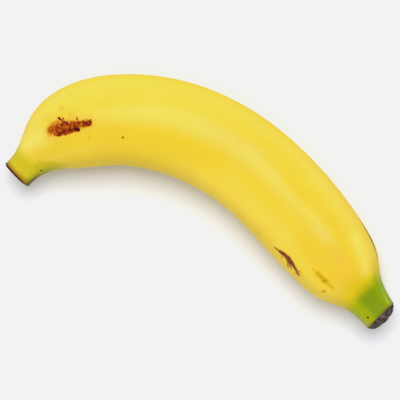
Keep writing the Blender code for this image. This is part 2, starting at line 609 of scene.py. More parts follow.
class SkinTree(GeometryTree):
    """Stretches a grid over the rows of a form, and sinks a fine relief into it."""

    SQUARE = 2.0
    CREASES = 5.0  # how many creases there are round a unit circle, roughly
    CREASE_STRETCH = 9.0  # how little a crease changes along the fruit
    DENTS_FROM = 0.42  # how high the broad noise is where a dent starts
    DENT_DETAIL, CRUMB_DETAIL = 2.0, 3.0  # the noises' finer layers
    CRUMB_SEED = 7.0  # what the crumbs' seed has over the dents'
    WELD = 1e-6

    def __init__(self, form: FruitForm) -> None:
        """Builds the tree for a form's ridges."""
        numbers = ["Ridge Spread", "Lobes", "Lobe Turn", "Seed"]
        numbers += [as_title(name) for name in Relief._fields]
        inputs = {"Rows": "NodeSocketInt", "Sides": "NodeSocketInt"}
        inputs |= {name: "NodeSocketFloat" for name in numbers}
        super().__init__("grown_skin", inputs | {"Material": "NodeSocketMaterial"})
        self.form = form
        self._build()

    def _at_row(self, row: Wire, kind: str, name: str) -> Wire:
        """A value that the station of one row carries."""
        given = {"Geometry": self.named("Geometry"), "Value": self.stored(name, kind), "Index": row}
        return self.node("GeometryNodeSampleIndex", {"data_type": kind}, given)

    def _build(self) -> None:
        """Adds the nodes."""
        columns = self.named("Sides") + 1.0
        index = self.node("GeometryNodeInputIndex")
        row = self.maths("FLOOR", index / columns)
        angle = (index - row * columns) * math.tau / self.named("Sides")
        number, arrow = (partial(self._at_row, row, kind) for kind in ("FLOAT", "FLOAT_VECTOR"))

        radius: Operand = 1.0
        degrees = angle * math.degrees(1.0)
        for place in range(len(self.form.ridges)):
            away = self.maths("WRAP", degrees - number(f"crest_{place}"), 180.0, -180.0)
            near = self.maths("POWER", away / self.named("Ridge Spread"), self.SQUARE)
            radius = radius + number(f"height_{place}") * self.maths("EXPONENT", near * -1.0)
        cos, sin = self.maths("COSINE", angle), self.maths("SINE", angle)
        ring = self.vector(radius * cos, radius * sin, 0.0) * arrow("stretch") + arrow("move")
        across, up, _ = self.sides(ring * number("reach"))
        lobed = self.maths("COSINE", (angle - self.named("Lobe Turn")) * self.named("Lobes"))
        forward = arrow("facing") * (lobed * number("lobe"))
        point = arrow("centre") + arrow("outward") * across + arrow("upward") * up + forward

        grid = self.node(
            "GeometryNodeMeshGrid",
            {},
            {"Size X": 1.0, "Size Y": 1.0, "Vertices X": self.named("Rows"), "Vertices Y": columns},
        )
        kept = self.node("GeometryNodeSetPosition", {}, {"Geometry": grid, "Position": point})
        for name, value, kind in (
            ("along", number("along_row"), "FLOAT"),
            ("ridge", radius - 1.0, "FLOAT"),
            ("share", number("share_row"), "FLOAT"),
            ("relief", number("relief_row"), "FLOAT"),
            ("turn", self.vector(cos, sin, 0.0), "FLOAT_VECTOR"),
            ("skin", point, "FLOAT_VECTOR"),
        ):
            kept = self.store(kept, name, value, kind)
        weld = {"Geometry": kept, "Distance": self.WELD}
        welded = self.node("GeometryNodeMergeByDistance", {}, weld)
        outside = self.node("GeometryNodeFlipFaces", {}, {"Mesh": welded})
        sink = {"Geometry": outside, "Offset": self._relief()}
        sunk = self.node("GeometryNodeSetPosition", {}, sink)
        standing = self.maths("MAXIMUM", self.node("GeometryNodeInputPosition"), DOWN_TO_FLOOR)
        self.end(self.node("GeometryNodeSetPosition", {}, {"Geometry": sunk, "Position": standing}))

    def _relief(self) -> Wire:
        """How far each point sinks in, as a vector."""
        skin, turn = self.stored("skin", "FLOAT_VECTOR"), self.stored("turn", "FLOAT_VECTOR")
        along, seed = self.stored("along"), self.named("Seed")
        hollows = self.noise(skin, self.named("Dent Size"), self.DENT_DETAIL, seed)
        dents = self.maths("MAXIMUM", hollows - self.DENTS_FROM, 0.0) * self.named("Dent Depth")
        grains = self.noise(skin, self.named("Crumb Size"), self.CRUMB_DETAIL, seed + self.CRUMB_SEED)
        crumbs = grains * self.named("Crumb Depth")
        lengthwise = turn * self.CREASES + self.vector(0.0, 0.0, along * self.CREASE_STRETCH)
        from_end = self.maths("MINIMUM", along, 1.0 - along) / self.named("Crease Reach")
        creased = self.noise(lengthwise, 1.0, self.DENT_DETAIL, seed) * self.named("Crease Depth")
        creases = creased * (1.0 - self.eased(from_end, 0.0, 1.0))
        depth = (dents + crumbs + creases) * self.stored("relief")
        return self.node("GeometryNodeInputNormal") * (depth * -1.0)

    def grow(
        self, name: str, rows: list[Section], sides: int, relief: Relief, **values: Any
    ) -> bpy.types.Object:
        """Grows one closed piece.

        Args:
            name: The piece's name.
            rows: Its rows, which start and end in a point.
            sides: How many faces it has round it.
            relief: Its fine relief.
            values: What is left of the tree's named inputs.

        Returns:
            The piece, as a plain mesh.
        """
        piece = self.form.stations(name, rows)
        values |= relief._asdict()
        self.apply(piece, rows=len(rows), sides=sides, ridge_spread=self.form.ridge_spread, **values)
        return piece


class ToneLook(NamedTuple):
    """How one kind of mark looks.

    Attributes:
        hides: How dark its ink is where it first hides the peel under it.
        warp: How ragged its edges are, in millimetres.
        stops: Its colours, from its faint edge to its middle.
    """

    hides: float
    warp: float
    stops: tuple[tuple[float, Colour], ...]


class Tone(Enum):
    """What a mark on the skin is made of, or the light or shade that it paints: the pale and the lime tones
    are painted highlights, and the shaded tone is painted shade.
    """

    RUST = ToneLook(0.42, 2.2, (
        (0.0, (0.76, 0.46, 0.014)), (0.2, (0.66, 0.27, 0.006)), (0.4, (0.49, 0.115, 0.003)),
        (0.6, (0.3, 0.036, 0.002)), (0.8, (0.16, 0.012, 0.002)), (1.0, (0.06, 0.004, 0.002)),
    ))
    SCRATCH = ToneLook(0.45, 1.3, (
        (0.0, (0.72, 0.46, 0.02)), (0.45, (0.48, 0.18, 0.016)), (0.75, (0.27, 0.076, 0.019)),
        (1.0, (0.19, 0.052, 0.023)),
    ))
    GOLD = ToneLook(0.85, 1.8, ((0.0, (0.82, 0.56, 0.003)), (1.0, (0.56, 0.31, 0.002))))
    OLIVE = ToneLook(0.75, 0.9, (
        (0.0, (0.8, 0.55, 0.006)), (0.55, (0.58, 0.36, 0.004)), (0.8, (0.33, 0.19, 0.004)),
        (1.0, (0.16, 0.08, 0.006)),
    ))
    ORANGE = ToneLook(1.0, 2.0, ((0.0, (0.85, 0.53, 0.036)), (1.0, (0.85, 0.49, 0.055))))
    # Painted highlight: pale yellow where light falls on the stalk's shoulder and on ridges.
    PALE = ToneLook(1.1, 2.0, ((0.0, (0.86, 0.68, 0.08)), (1.0, (0.88, 0.73, 0.13))))
    PEACH = ToneLook(1.0, 2.0, ((0.0, (0.86, 0.6, 0.08)), (1.0, (0.88, 0.58, 0.125))))
    WARM = ToneLook(1.0, 2.0, ((0.0, (0.86, 0.59, 0.03)), (1.0, (0.86, 0.56, 0.018))))
    GREEN_DOT = ToneLook(0.6, 0.6, ((0.0, (0.36, 0.36, 0.004)), (1.0, (0.03, 0.022, 0.008))))
    SHADED = ToneLook(0.9, 1.4, ((0.0, (0.46, 0.4, 0.003)), (1.0, (0.08, 0.052, 0.012))))
    # Painted highlight: a thin, brighter lime line along the green neck's outer ridge.
    LIME = ToneLook(0.9, 0.4, ((0.0, (0.3, 0.42, 0.004)), (1.0, (0.44, 0.58, 0.02))))


class Stroke(NamedTuple):
    """A smear of one tone from a place on the skin to another.

    Attributes:
        start: Where it starts.
        end: Where it ends, which is its start for a dot.
        widths: Its half-width at both ends, in millimetres.
        ink: How dark its middle is, from 0 to 1.
        soft: Over how much of its half-width it fades.
    """

    start: Place
    end: Place
    widths: tuple[float, float]
    ink: float
    soft: float = 1.9


def dot(at: Place, width: float, ink: float, soft: float = 1.9) -> Stroke:
    """A round spot."""
    return Stroke(at, at, (width, width), ink, soft)


MARKS: dict[Tone, tuple[Stroke, ...]] = {
    # Painted highlights on the stalk's shoulder, on the outer ridge before the tip and on ridges along the
    # top.
    Tone.PALE: (
        Stroke((0.068, 56.0), (0.105, 70.0), (3.8, 4.2), 0.9, 1.7),
        Stroke((0.83, 50.0), (0.9, 59.0), (3.3, 2.8), 0.75),
        Stroke((0.54, 112.0), (0.73, 116.0), (4.6, 5.2), 0.42),
        Stroke((0.7, 77.0), (0.805, 80.0), (2.4, 2.2), 0.55),
    ),
    Tone.WARM: (
        Stroke((0.578, 69.5), (0.64, 71.5), (1.6, 2.3), 0.5),
        Stroke((0.64, 71.5), (0.704, 74.0), (2.3, 2.3), 0.72),
        Stroke((0.704, 74.0), (0.726, 75.0), (2.1, 1.2), 0.5),
    ),
    Tone.PEACH: (
        Stroke((0.752, 84.0), (0.78, 82.0), (2.2, 2.6), 0.72),
    ),
    Tone.ORANGE: (
        Stroke((0.228, 70.5), (0.24, 69.5), (2.8, 2.4), 0.42),
        dot((0.1617, 56.5), 1.2, 0.8, 1.4),
        dot((0.1833, 44.0), 1.0, 0.5, 1.4),
        dot((0.6658, 72.0), 0.7, 0.6, 1.4),
        dot((0.808, 84.0), 2.4, 0.55),
        Stroke((0.812, 82.0), (0.844, 86.0), (2.3, 2.8), 0.62),
        dot((0.843, 86.0), 2.0, 0.85),
    ),
    # Painted highlight along the green neck's outer ridge.
    Tone.LIME: (
        Stroke((0.93, 28.0), (0.99, 40.0), (0.45, 0.9), 0.85, 1.8),
    ),
    Tone.SHADED: (
        Stroke((0.004, 171.0), (0.024, 172.0), (3.7, 3.0), 0.92, 1.8),
        Stroke((0.024, 172.0), (0.05, 168.0), (3.0, 1.3), 0.8),
        Stroke((0.008, 200.0), (0.03, 204.0), (1.2, 0.7), 0.6),
    ),
    Tone.GOLD: (
        dot((0.1717, 73.0), 0.9, 0.55),
        Stroke((0.822, 121.0), (0.836, 119.5), (0.8, 1.0), 0.58),
        Stroke((0.836, 119.5), (0.847, 120.0), (1.0, 1.0), 0.82),
        Stroke((0.847, 120.0), (0.864, 120.0), (1.0, 1.1), 0.86),
        Stroke((0.864, 120.0), (0.885, 121.0), (1.1, 0.9), 0.66),
    ),
    Tone.OLIVE: (
        Stroke((0.8585, 122.2), (0.8615, 119.2), (0.75, 0.7), 0.72),
        Stroke((0.877, 136.2), (0.8785, 134.0), (0.8, 0.75), 0.66),
        dot((0.2383, 85.5), 0.35, 0.3, 1.0),
        dot((0.1975, 109.0), 0.6, 0.56, 1.6),
        dot((0.68, 62.0), 0.35, 0.35, 1.0),
        dot((0.685, 57.5), 0.3, 0.4, 1.0),
        Stroke((0.3975, 148.5), (0.425, 150.5), (0.5, 0.4), 0.3, 1.2),
        Stroke((0.804, 6.0), (0.826, 7.0), (0.4, 0.85), 0.85, 0.9),
        Stroke((0.826, 7.0), (0.848, 7.0), (0.85, 1.1), 1.0, 0.8),
        Stroke((0.848, 7.0), (0.872, 6.5), (1.1, 0.95), 1.0, 0.8),
        Stroke((0.872, 6.5), (0.899, 7.0), (0.95, 0.4), 0.9, 0.9),
        Stroke((0.838, 1.5), (0.862, -0.5), (0.25, 0.35), 0.62, 1.1),
        Stroke((0.485, 18.5), (0.5542, 19.5), (0.3, 0.3), 0.22, 1.2),
    ),
    Tone.GREEN_DOT: (
        dot((0.9858, 126.0), 0.5, 1.0, 0.7),
        dot((0.0483, 137.5), 0.55, 0.95, 0.7),
        dot((0.0475, 119.0), 0.4, 0.4, 1.2),
        dot((0.0308, 121.0), 0.4, 0.28, 1.2),
        dot((0.0975, 124.0), 0.3, 0.28, 1.2),
        dot((0.0633, 140.5), 0.25, 0.4, 1.0),
    ),
    Tone.RUST: (
        Stroke((0.131, 77.5), (0.17, 85.0), (4.8, 4.4), 0.22),
        Stroke((0.17, 85.0), (0.203, 88.5), (4.0, 3.2), 0.22),
        Stroke((0.129, 78.0), (0.146, 82.0), (2.5, 2.8), 0.55, 1.2),
        Stroke((0.146, 82.5), (0.17, 88.0), (2.7, 2.4), 0.58, 1.0),
        Stroke((0.17, 87.5), (0.185, 88.5), (2.1, 1.9), 0.54, 1.0),
        Stroke((0.185, 88.5), (0.203, 90.0), (1.8, 1.5), 0.56, 1.0),
        Stroke((0.15, 69.0), (0.16, 81.0), (0.45, 0.6), 0.85, 0.9),
        Stroke((0.157, 69.0), (0.158, 74.0), (0.25, 0.3), 0.6, 0.9),
        Stroke((0.128, 85.5), (0.14, 89.5), (0.8, 1.0), 0.6, 1.0),
        Stroke((0.14, 89.5), (0.152, 90.5), (1.0, 1.2), 0.68, 1.0),
        Stroke((0.15, 89.5), (0.169, 92.5), (1.2, 1.2), 0.86, 1.0),
        Stroke((0.167, 91.5), (0.179, 94.0), (0.8, 0.8), 0.96, 0.9),
        Stroke((0.17, 87.5), (0.181, 90.5), (0.5, 0.6), 0.78, 0.9),
        Stroke((0.193, 87.0), (0.202, 93.0), (0.7, 0.7), 0.72, 1.0),
        Stroke((0.2075, 85.0), (0.2085, 91.0), (0.25, 0.55), 0.62, 0.9),
        Stroke((0.1335, 84.0), (0.1385, 77.0), (0.5, 0.4), 0.68, 0.9),
        dot((0.1475, 80.0), 1.0, 0.58, 0.9),
        dot((0.164, 86.0), 0.9, 0.68, 0.9),
        dot((0.1292, 73.0), 0.6, 0.62, 0.9),
        dot((0.1867, 88.5), 0.7, 0.82, 0.9),
        dot((0.1833, 81.0), 0.7, 0.5, 1.2),
        dot((0.175, 82.0), 0.35, 0.75, 0.9),
        dot((0.1483, 66.5), 0.35, 0.42, 0.9),
    ),
    Tone.SCRATCH: (
        Stroke((0.7317, 142.5), (0.747, 140.0), (0.38, 0.6), 0.62, 0.9),
        Stroke((0.747, 140.0), (0.756, 137.5), (0.7, 0.9), 0.88, 1.0),
        Stroke((0.756, 137.5), (0.768, 136.5), (0.9, 1.05), 0.95, 0.9),
        Stroke((0.768, 136.5), (0.783, 137.5), (1.1, 1.0), 0.98, 0.9),
        Stroke((0.783, 137.5), (0.801, 140.5), (0.9, 0.65), 0.8, 1.1),
        Stroke((0.766, 139.0), (0.78, 140.5), (0.6, 0.8), 0.72, 1.2),
        Stroke((0.801, 140.5), (0.8095, 144.0), (0.65, 1.1), 0.54, 1.4),
        Stroke((0.803, 139.5), (0.8117, 136.5), (0.5, 0.35), 0.38, 1.0),
        Stroke((0.7542, 140.0), (0.764, 148.0), (0.4, 0.28), 0.4, 1.2),
        Stroke((0.775, 140.5), (0.786, 151.0), (0.7, 0.36), 0.58, 1.2),
        Stroke((0.782, 140.5), (0.792, 148.0), (0.65, 0.34), 0.52, 1.2),
        dot((0.2758, 113.0), 0.42, 0.72, 0.9),
    ),
}


class Surface(NamedTuple):
    """What the peel's colours are worked out from, at each point of its surface.

    Attributes:
        skin: The point.
        along: The share along the fruit.
        across: 1 on the fruit's outer side and -1 on its inner side.
        up: 1 on top of the fruit, 0 at its sides and -1 below.
        ridge: The ridges' height.
        patchy: Patchy noise.
        fibres: Lengthwise noise.
    """

    skin: Wire
    along: Wire
    across: Wire
    up: Wire
    ridge: Wire
    patchy: Wire
    fibres: Wire

    def patches(self, span: float) -> Wire:
        """The patchy noise with its middle at 0, from half the span below it to half above."""
        return (self.patchy - NOISE_MIDDLE) * span

    def streaks(self, span: float) -> Wire:
        """The lengthwise noise with its middle at 0, as the patchy one."""
        return (self.fibres - NOISE_MIDDLE) * span


class Layer(NamedTuple):
    """One of the peel's colours that lie over others.

    Attributes:
        colour: The colour.
        span: Where it starts and where it is full, on the value that it follows.
        most: How much it hides where it is full.
    """

    colour: Colour
    span: Span
    most: float = 1.0

    def over(self, tree: ShaderTree, under: Any, value: Wire) -> Wire:
        """Lays the colour over another, as far as a value has come along its span."""
        return tree.mix(tree.eased(value, *self.span) * self.most, under, self.colour)


@dataclass(frozen=True)
class PeelFinish:
    """The waxy peel: yellow, with a painted highlight on its ridges' crests, painted sheen on its outer side
    and painted light on its inner side and outer edge, olive at the stalk and green at the tip.
    """

    valley: Colour = (0.84, 0.597, 0.029)
    # The crest colours are a painted highlight: a paler yellow laid on the ridges' crests, over the valley's
    # yellow.
    crest: Colour = (0.86, 0.660, 0.092)
    late_crest_highlight: Colour = (0.872, 0.634, 0.096)
    # Painted sheen: a paler yellow on the fruit's outer side, the side the light comes from.
    outer_painted_sheen: Colour = (0.86, 0.660, 0.080)
    # Painted light: a brighter gold on the inner side past the middle, where less light falls.
    inner_painted_light: Colour = (0.93, 0.667, 0.056)
    warm: Colour = (0.85, 0.550, 0.036)
    # Painted light: a brighter, deeper gold on the outer side's steep edge, which gets less light.
    outer_edge_painted_light: Layer = Layer((0.92, 0.645, 0.014), (0.76, 0.97), 0.75)
    olive: Layer = Layer((0.60, 0.493, 0.014), (0.062, 0.032), 0.95)
    stalk_green: Layer = Layer((0.40, 0.41, 0.001), (0.0042, 0.0), 0.85)
    halo: Layer = Layer((0.40, 0.20, 0.010), (0.0170, 0.0045))
    cut_rim: Layer = Layer((0.09, 0.030, 0.010), (0.0063, 0.0027))
    turning: Layer = Layer((0.74, 0.55, 0.004), (0.884, 0.924), 0.85)
    green: Colour = (0.205, 0.290, 0.002)
    outer_green: Colour = (0.27, 0.37, 0.001)
    inner_green: Colour = (0.42, 0.45, 0.003)
    singe: Layer = Layer((0.16, 0.085, 0.016), (0.9905, 0.9985), 0.7)
    scar_rim: Layer = Layer((0.09, 0.030, 0.010), (0.84, 0.76))
    freckle: Colour = (0.20, 0.075, 0.012)
    roughness: float = 0.48
    shine: float = 0.06

    # Where along the fruit something starts and where it is full
    LATE = (0.36, 0.52)
    NEAR_TIP = (0.66, 0.82)
    BEFORE_TIP = (0.85, 0.45)
    PALE_FROM, PALE_UP_TO = (0.06, 0.16), (0.925, 0.86)
    GREEN_NECK = (0.914, 0.949)
    INNER_OLIVE_FURTHER = 0.050
    INNER_GREEN_LATER, OUTER_GREEN_SOONER = 0.009, 0.005
    STALK_GREEN_LINE = ((0.038, 152.0), (0.064, 150.0))

    # Where across it, from its inner side at -1 to its outer side at 1
    INNER_SIDE, INNER_AT_ENDS = (-0.30, -0.75), (-0.1, -0.8)
    OUTER_NECK = (0.35, 0.75)
    OUTER_STARTS, OUTER_FULL = (0.0, 0.3), (0.7, 0.9)  # each before the fruit's middle and after it
    LOW_SIDES = (0.0, -0.25)  # and where up it, from its side at 0 to its underside at -1

    # How much there is of something, from 0 to 1
    # The crests' paler colour is a painted highlight; these say how much of it fades on the inner side
    # before the middle and at the tip.
    INNER_FLATTER, TIP_FLATTER = 0.85, 0.45  # what the crests lose of their paleness
    INNER_PAINTED_LIGHT_MOST = 0.85
    SHEEN_MOST = (0.55, 0.70)  # at the tip and before it
    WARM_MOST, TIP_WARM_MOST, SIDES_COOLER = 0.45, 0.62, 0.9
    BROAD_SHARE = 0.7  # of the broad noise in the warm patches

    # How high a ridge or a noise is where something starts and where it is full
    CREST_HIGHLIGHT_RISE = (0.008, 0.065)
    WARM_PATCHES = (0.46, 0.66)
    MOTTLE_EDGE = (0.34, 0.66)
    MOTTLED_INK = (0.66, 1.30)  # what ink is multiplied by, between the mottles and on them

    # How far noise moves an edge, in the edge's own measure
    CREST_WAVER, OUTER_WAVER, SCAR_WAVER = 0.012, 0.5, 0.10
    END_WAVER, STALK_GREEN_WAVER = 0.006, 0.003
    RAGGED_PATCHES, RAGGED_STREAKS = 0.016, 0.010

    # Each noise's size in metres, its finer layers and its seed
    PATCHES = (0.0045, 3.0, 5.0)
    BROAD_PATCHES = (0.020, 2.0, 3.0)
    WARP = (0.0020, 3.0, 11.0)
    MOTTLE = (0.0009, 3.0, 4.0)
    PORES = (0.0006, 2.0, 8.0)
    FIBRES = (1.0, 3.0, 2.0)  # its size is a share of the stretched space
    FIBRES_ROUND, FIBRE_STRETCH = 26.0, 7.0

    # Freckles, in metres apart and in shares of that
    FRECKLES_APART = 0.0075
    FRECKLE_EDGE = (0.055, 0.030)
    FRECKLE_CHANCE = 0.72
    FRECKLE_INKS = (0.4, 1.0)

    # Roughness that patches and marks add, and heights in millimetres
    PATCH_ROUGHNESS, MARK_ROUGHNESS = 0.08, 0.3
    PORE_HEIGHT, FIBRE_HEIGHT, MOTTLE_DEPTH = 0.012, 0.02, 0.10

    def material(self, form: FruitForm) -> bpy.types.Material:
        """Makes the peel's material.

        Args:
            form: The fruit's form, which turns the marks' places into points.

        Returns:
            The material.
        """
        tree = ShaderTree("peel")
        at = self._surface(tree)
        colour = self._yellow(tree, at)
        colour = self._stalk_end(tree, at, colour, form)
        colour = self._blossom_end(tree, at, colour)
        colour = self._freckles(tree, at, colour)
        warp = tree.noise(at.skin, *self.WARP).out("Color") - (NOISE_MIDDLE,) * 3
        mottle = tree.eased(tree.noise(at.skin, *self.MOTTLE), *self.MOTTLE_EDGE)
        covered: Operand = 0.0
        for tone, strokes in MARKS.items():
            look = tone.value
            ragged = at.skin + warp * (look.warp * MILLIMETRE)
            ink = self._ink(tree, ragged, form, strokes)
            if tone is Tone.RUST:
                ink = ink * between(mottle, *self.MOTTLED_INK)
            tint = tree.node("ShaderNodeValToRGB", {"stops": look.stops}, {"Fac": ink})
            colour = tree.mix(tree.eased(ink, 0.0, look.hides), colour, tint)
            if tone in (Tone.RUST, Tone.SCRATCH):
                covered = covered + ink
        pores = tree.noise(at.skin, *self.PORES) * self.PORE_HEIGHT
        raised = pores + at.fibres * self.FIBRE_HEIGHT
        return tree.finish(
            Base_Color=colour,
            Roughness=self.roughness + at.patches(self.PATCH_ROUGHNESS) + covered * self.MARK_ROUGHNESS,
            Normal=tree.bump(raised - covered * (mottle * self.MOTTLE_DEPTH)),
            Specular_IOR_Level=self.shine,
        )

    def _surface(self, tree: ShaderTree) -> Surface:
        """Reads the mesh's own values and makes the noises that several colours share."""
        skin, turn = tree.attribute("skin", "Vector"), tree.attribute("turn", "Vector")
        along = tree.attribute("along")
        across, up, _ = tree.sides(turn)
        lengthwise = turn * self.FIBRES_ROUND + tree.vector(0.0, 0.0, along * self.FIBRE_STRETCH)
        patchy = tree.noise(skin, *self.PATCHES)
        fibres = tree.noise(lengthwise, *self.FIBRES)
        return Surface(skin, along, across, up, tree.attribute("ridge"), patchy, fibres)

    def _yellow(self, tree: ShaderTree, at: Surface) -> Wire:
        """The ripe yellow, warmer in patches and at the tip, with a painted highlight on its crests, painted
        sheen on its outer side and painted light on its inner side and outer edge.
        """
        near_tip = tree.eased(at.along, *self.NEAR_TIP)
        late = tree.eased(at.along, *self.LATE)
        inner = tree.eased(at.across, *self.INNER_SIDE)
        # Painted highlight: the crests' paler yellow, where the ridges stand highest.
        height = tree.eased(at.ridge + at.streaks(self.CREST_WAVER), *self.CREST_HIGHLIGHT_RISE)
        height = height * (1.0 - inner * (1.0 - late) * self.INNER_FLATTER)
        height = height * (1.0 - near_tip * self.TIP_FLATTER)
        colour = tree.mix(height, self.valley, tree.mix(late, self.crest, self.late_crest_highlight))
        # Painted light: the inner side past the middle is brighter, as if more light reached it.
        colour = tree.mix(inner * late * self.INNER_PAINTED_LIGHT_MOST, colour, self.inner_painted_light)

        # Painted sheen: a paler yellow over the outer side, from the stalk's shoulder to before the tip.
        starts, full = between(late, *self.OUTER_STARTS), between(late, *self.OUTER_FULL)
        outer = tree.eased(at.across + at.patches(self.OUTER_WAVER), starts, full)
        shoulders = tree.eased(at.along, *self.PALE_FROM) * tree.eased(at.along, *self.PALE_UP_TO)
        before_tip = tree.eased(at.along, *self.BEFORE_TIP)
        pale = outer * between(before_tip, *self.SHEEN_MOST) * shoulders
        colour = tree.mix(pale, colour, self.outer_painted_sheen)

        broad = tree.noise(at.skin, *self.BROAD_PATCHES) * self.BROAD_SHARE
        patches = tree.eased(broad + at.patchy * (1.0 - self.BROAD_SHARE), *self.WARM_PATCHES)
        # The warmth fades on both sides; on the inner side this keeps the yellow lighter, as painted light.
        top = (1.0 - outer * self.SIDES_COOLER) * (1.0 - inner * self.SIDES_COOLER)
        warmth = tree.maths(
            "MAXIMUM", patches * self.WARM_MOST * (1.0 - outer), near_tip * top * self.TIP_WARM_MOST
        )
        # Painted light: a brighter gold along the outer edge.
        return self.outer_edge_painted_light.over(tree, tree.mix(warmth, colour, self.warm), at.across)

    def _stalk_end(self, tree: ShaderTree, at: Surface, colour: Wire, form: FruitForm) -> Wire:
        """Lays the stalk's colours over the yellow.

        Args:
            tree: The material's tree.
            at: The surface's values.
            colour: The yellow.
            form: The fruit's form.

        Returns:
            The colour's wire.
        """
        inner = tree.eased(at.across, *self.INNER_AT_ENDS)
        colour = self.olive.over(tree, colour, self._ragged(at) - inner * self.INNER_OLIVE_FURTHER)
        start, end = (form.place(spot) for spot in self.STALK_GREEN_LINE)
        away, _ = self._away(tree, at.skin, start, end)
        colour = self.stalk_green.over(tree, colour, away + at.patches(self.STALK_GREEN_WAVER))
        near_cut = at.along + at.patches(self.END_WAVER)
        return self.cut_rim.over(tree, self.halo.over(tree, colour, near_cut), near_cut)

    def _blossom_end(self, tree: ShaderTree, at: Surface, colour: Wire) -> Wire:
        """Lays the green neck and the dry edge under the scab over the yellow."""
        inner = tree.eased(at.across, *self.INNER_AT_ENDS)
        outer = tree.eased(at.across, *self.OUTER_NECK)
        green = tree.mix(inner, self.green, self.inner_green)
        green = tree.mix(outer, green, self.outer_green)
        reach = self._ragged(at) - inner * self.INNER_GREEN_LATER + outer * self.OUTER_GREEN_SOONER
        colour = self.turning.over(tree, colour, reach)
        colour = tree.mix(tree.eased(reach, *self.GREEN_NECK), colour, green)
        colour = self.singe.over(tree, colour, at.along + at.patches(self.END_WAVER))
        return self.scar_rim.over(tree, colour, tree.attribute("share") + at.patches(self.SCAR_WAVER))

    def _ragged(self, at: Surface) -> Wire:
        """The share along the fruit, with a ragged edge."""
        return at.along + at.patches(self.RAGGED_PATCHES) + at.streaks(self.RAGGED_STREAKS)

    def _freckles(self, tree: ShaderTree, at: Surface, colour: Wire) -> Wire:
        """A few small freckles on the sides that lie low."""
        scattered = {"Vector": at.skin, "Scale": 1.0 / self.FRECKLES_APART}
        cell = tree.node("ShaderNodeTexVoronoi", {}, scattered)
        chance, size, _ = tree.sides(cell.out("Color"))
        picked = tree.maths("GREATER_THAN", chance, self.FRECKLE_CHANCE)
        spot = tree.eased(cell, *self.FRECKLE_EDGE) * between(size, *self.FRECKLE_INKS)
        return tree.mix(spot * picked * tree.eased(at.up, *self.LOW_SIDES), colour, self.freckle)

    @staticmethod
    def _away(tree: ShaderTree, skin: Wire, start: Vector, end: Vector) -> tuple[Wire, Operand]:
        """How far the skin is from the straight line between two points.

        Args:
            tree: The material's tree.
            skin: The skin's points.
            start: Where the line starts.
            end: Where it ends, which may be its start.

        Returns:
            The distance, and the share along the line of its nearest point.
        """
        run = end - start
        if not run.length:
            return tree.measure("DISTANCE", skin, start), 0.0
        from_start = skin - start
        share = tree.measure("DOT_PRODUCT", from_start, run / run.length_squared)
        share = tree.node("ShaderNodeClamp", {}, {"Value": share})
        scale = {"operation": "SCALE"}
        nearest = tree.node("ShaderNodeVectorMath", scale, {0: run, "Scale": share})
        return tree.measure("DISTANCE", from_start, nearest), share

    def _ink(
        self, tree: ShaderTree, skin: Wire, form: FruitForm, strokes: tuple[Stroke, ...]
    ) -> Wire:
        """How dark some strokes are together.

        Args:
            tree: The material's tree.
            skin: The skin's points, which may be warped.
            form: The fruit's form.
            strokes: The strokes.

        Returns:
            Their ink, from 0 to 1.
        """
        total: Operand = 0.0
        for stroke in strokes:
            away, share = self._away(tree, skin, form.place(stroke.start), form.place(stroke.end))
            first, last = (width * MILLIMETRE for width in stroke.widths)
            fade = {
                "Value": away / between(share, first, last),
                "From Min": 1.0 - stroke.soft / 2,
                "From Max": 1.0 + stroke.soft / 2,
                "To Min": stroke.ink,
                "To Max": 0.0,
            }
            total = tree.maths("MAXIMUM", total, tree.node("ShaderNodeMapRange", {}, fade))
        return total


@dataclass(frozen=True)
class DryFinish:
    """Dry, dull brown skin with darker hollows."""

    name: str
    dark: Colour
    middle: Colour
    pale: Colour
    pale_share: float
    roughness: float = 0.85
    grain: float = 0.0009

    LUMP_GRAINS = 2.0  # how many grains wide a lump is
    LUMPS, CRUMBS = (3.0, 6.0), (4.0, 9.0)  # each noise's finer layers and seed
    HOLLOWS, TOPS = (0.36, 0.58), (0.50, 0.66)  # how high it is where each colour gives way
    LUMP_SHINE = 0.1
    LUMP_HEIGHT, CRUMB_HEIGHT = 0.1, 0.12  # in millimetres

    def material(self) -> bpy.types.Material:
        """Makes the dry skin's material."""
        tree = ShaderTree(self.name)
        skin = tree.attribute("skin", "Vector")
        lumps = tree.noise(skin, self.grain * self.LUMP_GRAINS, *self.LUMPS)
        crumbs = tree.noise(skin, self.grain, *self.CRUMBS)
        colour = tree.mix(tree.eased(lumps, *self.HOLLOWS), self.dark, self.middle)
        colour = tree.mix(tree.eased(crumbs, *self.TOPS) * self.pale_share, colour, self.pale)
        return tree.finish(
            Base_Color=colour,
            Roughness=self.roughness - lumps * self.LUMP_SHINE,
            Normal=tree.bump(crumbs * self.CRUMB_HEIGHT + lumps * self.LUMP_HEIGHT),
        )


